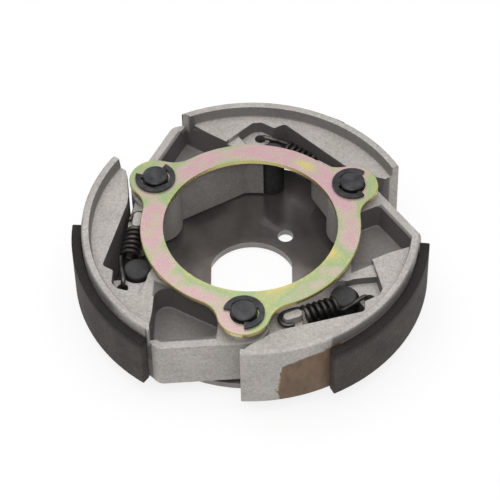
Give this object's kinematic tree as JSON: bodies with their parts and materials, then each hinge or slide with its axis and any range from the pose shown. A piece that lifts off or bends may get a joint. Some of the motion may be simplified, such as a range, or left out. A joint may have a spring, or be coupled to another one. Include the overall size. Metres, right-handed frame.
{
  "type": "centrifugal clutch",
  "caption": "Dry centrifugal clutch for a scooter belt drive: sprung, lined shoes pivot on pins between a dished drive plate and a flat retainer ring.",
  "frame": {"origin": "on the clutch's turning axis, at the underside of the drive plate's floor", "axes": "+Z along the turning axis from the drive plate towards the retainer ring; -Y towards the first pivot pin"},
  "size_m": [0.1124, 0.1092, 0.0291],
  "materials": {
    "drive_plate": "dark pressed steel, oiled",
    "retainer_ring": "yellow zinc plating, iridescent",
    "pins": "dark turned steel",
    "clips": "black spring steel",
    "shoes": "as die cast, matt",
    "linings": "moulded friction compound",
    "dampers": "matt black rubber",
    "springs": "dark spring wire"
  },
  "bodies": {
    "carrier": {"drive_plate": "drive_plate", "retainer_ring": "retainer_ring", "pivot_pin_1": "pins", "pivot_pin_2": "pins", "pivot_pin_3": "pins", "stop_pin_1": "pins", "stop_pin_2": "pins", "stop_pin_3": "pins", "damper_rubber_1": "dampers", "damper_rubber_2": "dampers", "damper_rubber_3": "dampers", "e_clip_1": "clips", "e_clip_2": "clips", "e_clip_3": "clips"},
    "shoe_body_1": {"shoe_1": "shoes", "lining_1": "linings", "return_spring_1": "springs"},
    "shoe_body_2": {"shoe_2": "shoes", "lining_2": "linings", "return_spring_2": "springs"},
    "shoe_body_3": {"shoe_3": "shoes", "lining_3": "linings", "return_spring_3": "springs"}
  },
  "joints": [
    {"name": "shoe_swing_1", "type": "hinge", "parent": "carrier", "child": "shoe_body_1", "pos_m": [0, -0.0362, 0.015], "axis": [0, 0, 1], "range_deg": [0, 3], "stiffness_Nm_per_rad": 4, "springref_deg": -5.73, "deforming": ["return_spring_1", "return_spring_2"]},
    {"name": "shoe_swing_2", "type": "hinge", "parent": "carrier", "child": "shoe_body_2", "pos_m": [0.03135, 0.0181, 0.015], "axis": [0, 0, 1], "range_deg": [0, 3], "stiffness_Nm_per_rad": 4, "springref_deg": -5.73, "deforming": ["return_spring_2", "return_spring_3"]},
    {"name": "shoe_swing_3", "type": "hinge", "parent": "carrier", "child": "shoe_body_3", "pos_m": [-0.03135, 0.0181, 0.015], "axis": [0, 0, 1], "range_deg": [0, 3], "stiffness_Nm_per_rad": 4, "springref_deg": -5.73, "deforming": ["return_spring_3", "return_spring_1"]}
  ]
}
